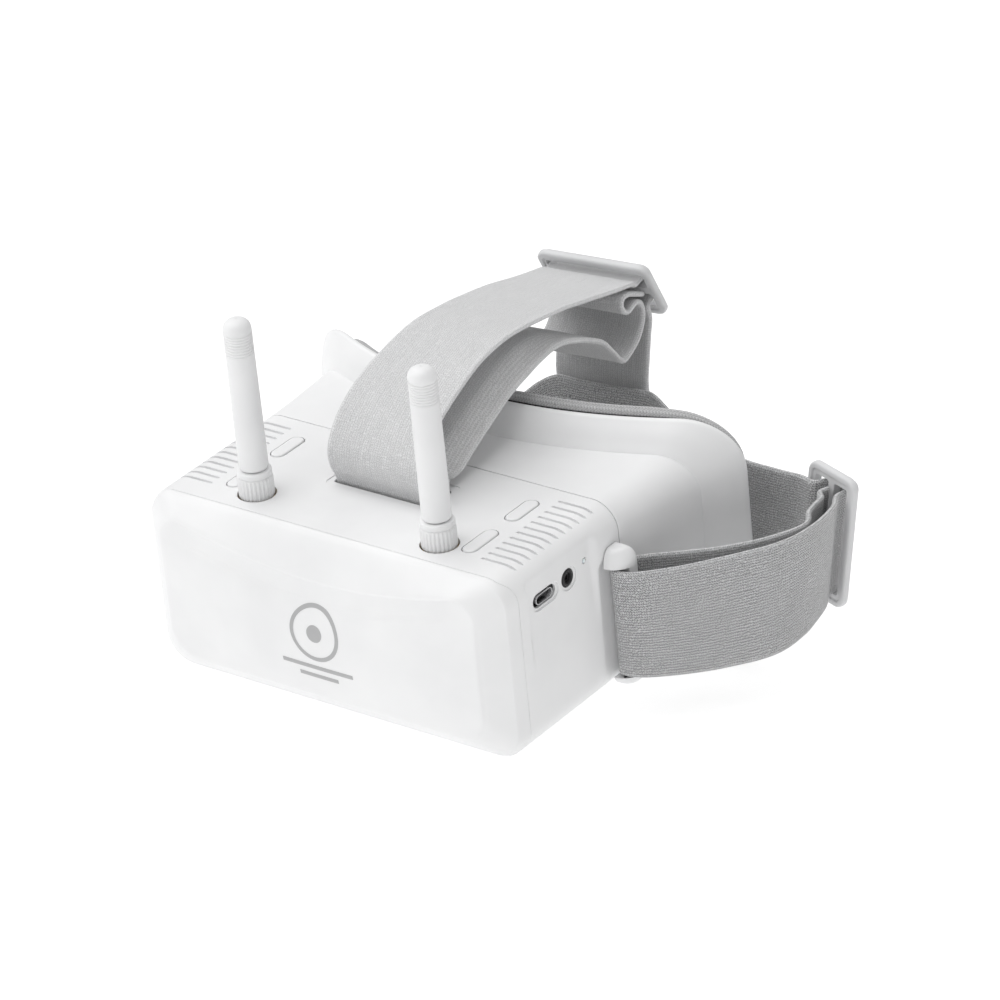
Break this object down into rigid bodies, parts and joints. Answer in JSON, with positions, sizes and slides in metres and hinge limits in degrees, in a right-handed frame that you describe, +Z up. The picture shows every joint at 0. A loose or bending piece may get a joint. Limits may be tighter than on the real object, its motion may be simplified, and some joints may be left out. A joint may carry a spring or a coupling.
{
  "type": "fpv goggles",
  "caption": "Boxed video goggles with stub antennas, vented shell, flared face mask with foam pad, and an elastic head strap with sliding buckles.",
  "frame": {"origin": "centre of the overall box's underside; the object stands on its front lower edge and the cheeks of the mask", "axes": "+X to the right seen from the front cover, +Y from the front cover towards the wearer, +Z up; the viewer box is pitched 9.45 degrees, face side raised"},
  "size_m": [0.2232, 0.1762, 0.1353],
  "materials": {
    "shell": "satin white moulding",
    "button_plastic": "satin white moulding",
    "hook_tape": "black hook tape",
    "foam": "grey knit over soft foam",
    "black_plastic": "matt black moulding",
    "circuit_board": "green solder mask",
    "brass": "gold plated",
    "shield_can": "tinned steel can",
    "lead_jacket": "soft black jacket",
    "connector_steel": "stamped steel",
    "light_pipe": "clear white",
    "cell_foil": "silver foil pouch",
    "flex_film": "amber film",
    "screen_glass": "dark glass, black when off",
    "clear_lens": "clear moulded lens with fine rings",
    "screw_steel": "plated steel",
    "webbing": "mid grey woven elastic",
    "buckle_plastic": "light grey moulding"
  },
  "bodies": {
    "goggles": {"front_cover": "shell", "main_housing": "shell", "face_shroud": "shell", "strap_lug_right": "shell", "strap_lug_left": "shell", "pad_hook_ring": "hook_tape", "foam_pad": "foam", "switch_right_front": "black_plastic", "switch_right_rear": "black_plastic", "button_board_right": "circuit_board", "antenna_jack_right": "brass", "receiver_right": "shield_can", "aerial_lead_right": "lead_jacket", "switch_left_front": "black_plastic", "switch_left_rear": "black_plastic", "button_board_left": "circuit_board", "antenna_jack_left": "brass", "receiver_left": "shield_can", "aerial_lead_left": "lead_jacket", "usb_c_socket": "connector_steel", "av_jack": "black_plastic", "charge_light": "light_pipe", "port_board": "circuit_board", "main_board": "circuit_board", "battery_pack": "cell_foil", "buzzer": "black_plastic", "battery_lead": "lead_jacket", "display_flex": "flex_film", "display_panel": "screen_glass", "display_frame": "black_plastic", "light_hood": "black_plastic", "lens_bulkhead": "black_plastic", "fresnel_lens": "clear_lens", "lens_retainer": "black_plastic", "display_screw_1": "screw_steel", "lens_screw_1": "screw_steel", "display_screw_2": "screw_steel", "lens_screw_2": "screw_steel", "display_screw_3": "screw_steel", "lens_screw_3": "screw_steel", "display_screw_4": "screw_steel", "lens_screw_4": "screw_steel", "side_strap": "webbing", "rear_band": "webbing", "top_strap": "webbing", "strap_riser": "webbing"},
    "antenna_right": {"antenna_whip_right": "shell", "antenna_collar_right": "shell"},
    "key_right_front": {"button_right_front": "button_plastic"},
    "key_right_rear": {"button_right_rear": "button_plastic"},
    "antenna_left": {"antenna_whip_left": "shell", "antenna_collar_left": "shell"},
    "key_left_front": {"button_left_front": "button_plastic"},
    "key_left_rear": {"button_left_rear": "button_plastic"},
    "side_slider": {"side_buckle": "buckle_plastic"},
    "top_slider": {"top_buckle": "buckle_plastic"}
  },
  "joints": [
    {"name": "antenna_right_turn", "type": "hinge", "parent": "goggles", "child": "antenna_right", "pos_m": [0.0229, -0.068, 0.06929], "axis": [0, -0.1642, 0.9864], "continuous": true},
    {"name": "button_right_front_press", "type": "slide", "parent": "goggles", "child": "key_right_front", "axis": [0, 0.1642, -0.9864], "range_m": [0, 0.0008], "stiffness_N_per_m": 400, "springref_m": -0.001},
    {"name": "button_right_rear_press", "type": "slide", "parent": "goggles", "child": "key_right_rear", "axis": [0, 0.1642, -0.9864], "range_m": [0, 0.0008], "stiffness_N_per_m": 400, "springref_m": -0.001},
    {"name": "antenna_left_turn", "type": "hinge", "parent": "goggles", "child": "antenna_left", "pos_m": [-0.0553, -0.068, 0.06929], "axis": [0, -0.1642, 0.9864], "continuous": true},
    {"name": "button_left_front_press", "type": "slide", "parent": "goggles", "child": "key_left_front", "axis": [0, 0.1642, -0.9864], "range_m": [0, 0.0008], "stiffness_N_per_m": 400, "springref_m": -0.001},
    {"name": "button_left_rear_press", "type": "slide", "parent": "goggles", "child": "key_left_rear", "axis": [0, 0.1642, -0.9864], "range_m": [0, 0.0008], "stiffness_N_per_m": 400, "springref_m": -0.001},
    {"name": "side_buckle_slide", "type": "slide", "parent": "goggles", "child": "side_slider", "axis": [0.9397, -0.3374, -0.0562], "range_m": [-0.001, 0.001]},
    {"name": "top_buckle_slide", "type": "slide", "parent": "goggles", "child": "top_slider", "axis": [0, 0.588, -0.8089], "range_m": [-0.001, 0.001]}
  ]
}
